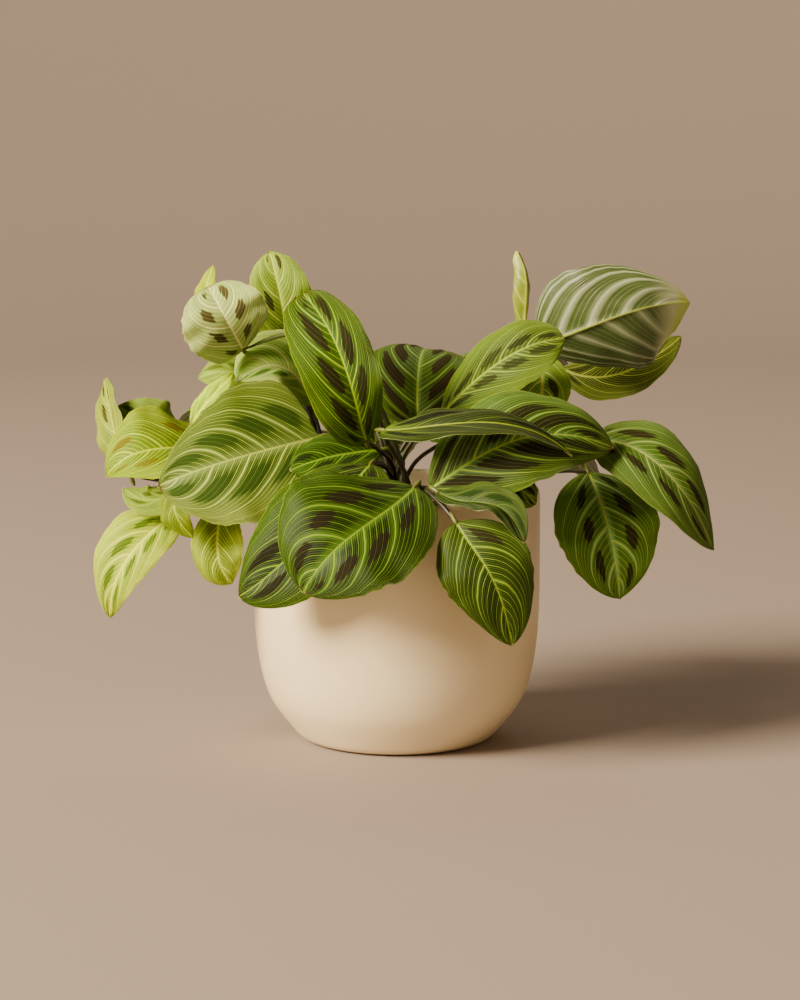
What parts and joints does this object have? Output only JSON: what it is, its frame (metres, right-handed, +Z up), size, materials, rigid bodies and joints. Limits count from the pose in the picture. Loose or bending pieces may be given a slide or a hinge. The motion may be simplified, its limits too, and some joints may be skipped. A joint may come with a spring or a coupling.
{
  "type": "potted prayer plant",
  "caption": "Potted prayer plant: broad patterned oval leaves on thin arching petioles over a round, straight-walled cream ceramic pot filled with soil.",
  "frame": {"origin": "middle of the pot's flat foot", "axes": "+Z up along the pot's axis, +X to the right and +Y away from the side with the hanging leaves"},
  "size_m": [0.361, 0.2981, 0.2883],
  "materials": {
    "pot_ceramic": "smooth satin cream glaze",
    "potting_soil": "rough crumbly",
    "leaf_green": "satin, lime veins and brown blotches",
    "leaf_silver": "satin, silvery green with dark green patches",
    "leaf_pale": "satin, pale green with brown blotches",
    "leaf_lime": "satin, bright lime green",
    "petiole": "satin brown-green"
  },
  "bodies": {
    "root": {"pot": "pot_ceramic", "soil": "potting_soil", "blade_front_low": "leaf_green", "blade_front_wide": "leaf_green", "blade_front_curl": "leaf_silver", "blade_front_left": "leaf_green", "blade_right_low": "leaf_green", "blade_middle_long": "leaf_green", "blade_middle_dark": "leaf_green", "blade_right_arched": "leaf_green", "blade_left_small": "leaf_green", "blade_centre_tall": "leaf_green", "blade_left_wide": "leaf_silver", "blade_right_of_centre": "leaf_pale", "blade_centre_back": "leaf_green", "blade_left_hanging": "leaf_lime", "blade_left_slim": "leaf_lime", "blade_left_glossy": "leaf_silver", "blade_top_pale": "leaf_pale", "blade_left_upper": "leaf_pale", "blade_top_lime": "leaf_lime", "blade_top_dark": "leaf_green", "blade_far_left_lime": "leaf_lime", "blade_far_left_slim": "leaf_lime", "blade_far_left_small": "leaf_pale", "blade_far_left_low": "leaf_pale", "blade_far_left_upright": "leaf_pale", "blade_far_left_dark": "leaf_green", "blade_top_slim": "leaf_lime", "blade_inner_dark": "leaf_green", "blade_inner_pale": "leaf_silver", "blade_rim_right": "leaf_green", "blade_right_big": "leaf_silver", "blade_right_under": "leaf_green", "blade_new_rolled": "leaf_lime", "blade_back_1": "leaf_green", "blade_back_2": "leaf_green", "blade_back_3": "leaf_green", "blade_back_4": "leaf_green", "blade_back_5": "leaf_green", "blade_back_6": "leaf_green", "blade_back_7": "leaf_green", "blade_back_8": "leaf_green", "blade_back_9": "leaf_green", "blade_back_10": "leaf_green", "blade_back_11": "leaf_green", "blade_back_12": "leaf_green", "shoot_1": "petiole", "shoot_2": "petiole", "shoot_3": "petiole", "shoot_4": "petiole", "shoot_5": "petiole", "shoot_6": "petiole", "shoot_7": "petiole"}
  },
  "joints": []
}
